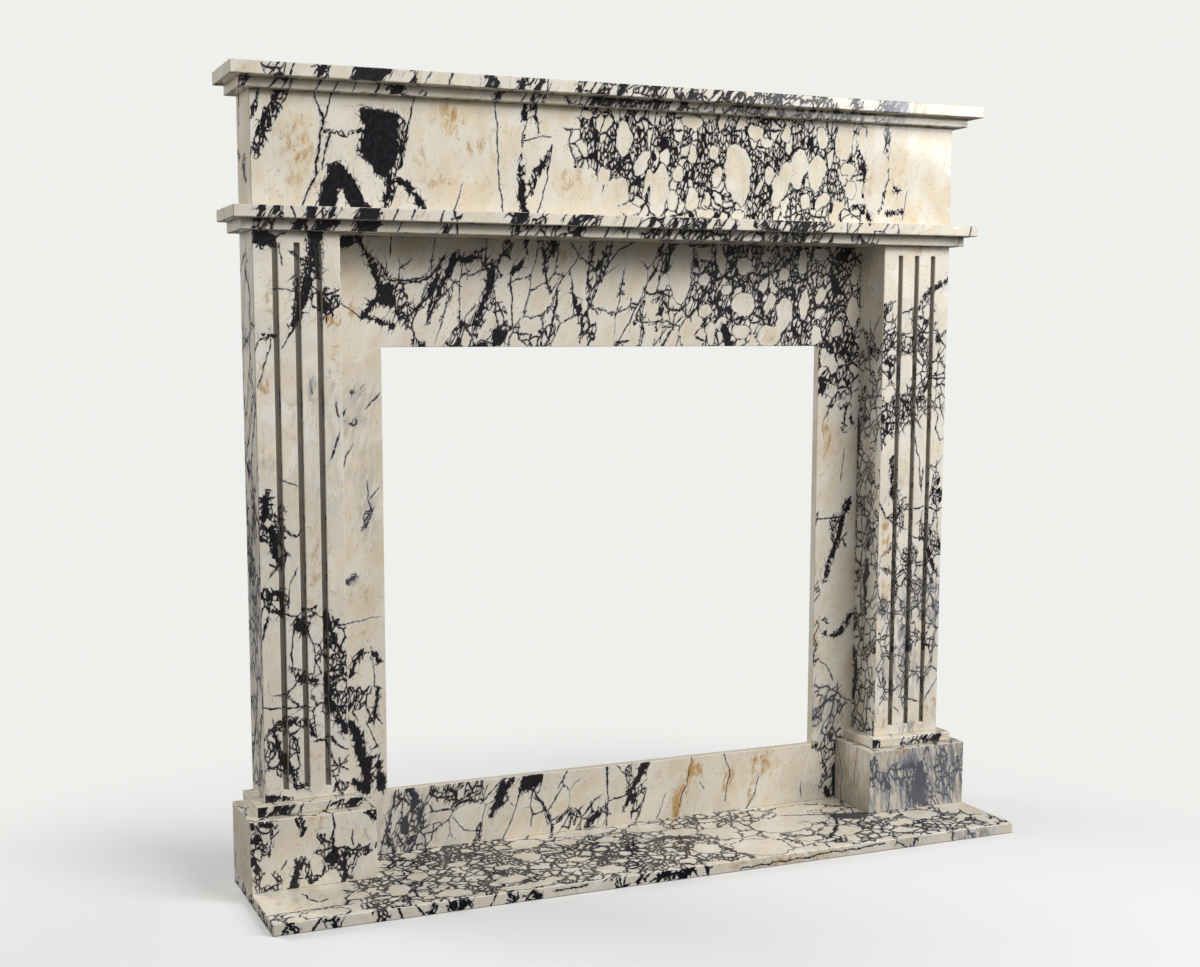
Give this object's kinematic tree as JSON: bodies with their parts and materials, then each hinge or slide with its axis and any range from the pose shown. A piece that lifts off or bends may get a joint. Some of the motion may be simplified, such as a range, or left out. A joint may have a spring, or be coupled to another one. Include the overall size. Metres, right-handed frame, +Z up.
{
  "type": "fireplace mantelpiece",
  "caption": "Flat-slab marble chimneypiece: fluted pilasters on capped plinths, plain frieze, stepped cornice and shelf, panel round the fire opening, and hearth slab.",
  "frame": {"origin": "middle of the hearth slab's underside, on the floor", "axes": "+X along the wall to the right as seen from the room, +Y towards the wall, +Z up"},
  "size_m": [1.37, 0.28, 1.309],
  "materials": {
    "hearth_marble": "polished breccia marble, cream fragments in a near-black vein network",
    "plinth_marble": "polished breccia marble, cream fragments in a near-black vein network",
    "cap_marble": "polished breccia marble, cream fragments in a near-black vein network",
    "pilaster_marble": "polished breccia marble, cream fragments in a near-black vein network",
    "panel_marble": "polished breccia marble, cream fragments in a near-black vein network",
    "cornice_marble": "polished breccia marble, cream fragments in a near-black vein network",
    "frieze_marble": "polished breccia marble, cream fragments in a near-black vein network",
    "shelf_marble": "polished breccia marble, cream fragments in a near-black vein network"
  },
  "bodies": {
    "root": {"hearth_slab": "hearth_marble", "plinth_left": "plinth_marble", "plinth_right": "plinth_marble", "plinth_cap_left": "cap_marble", "plinth_cap_right": "cap_marble", "pilaster_left": "pilaster_marble", "pilaster_right": "pilaster_marble", "back_panel": "panel_marble", "cornice_bed": "cornice_marble", "cornice_slab": "cornice_marble", "frieze": "frieze_marble", "shelf_bed": "shelf_marble", "mantel_shelf": "shelf_marble"}
  },
  "joints": []
}
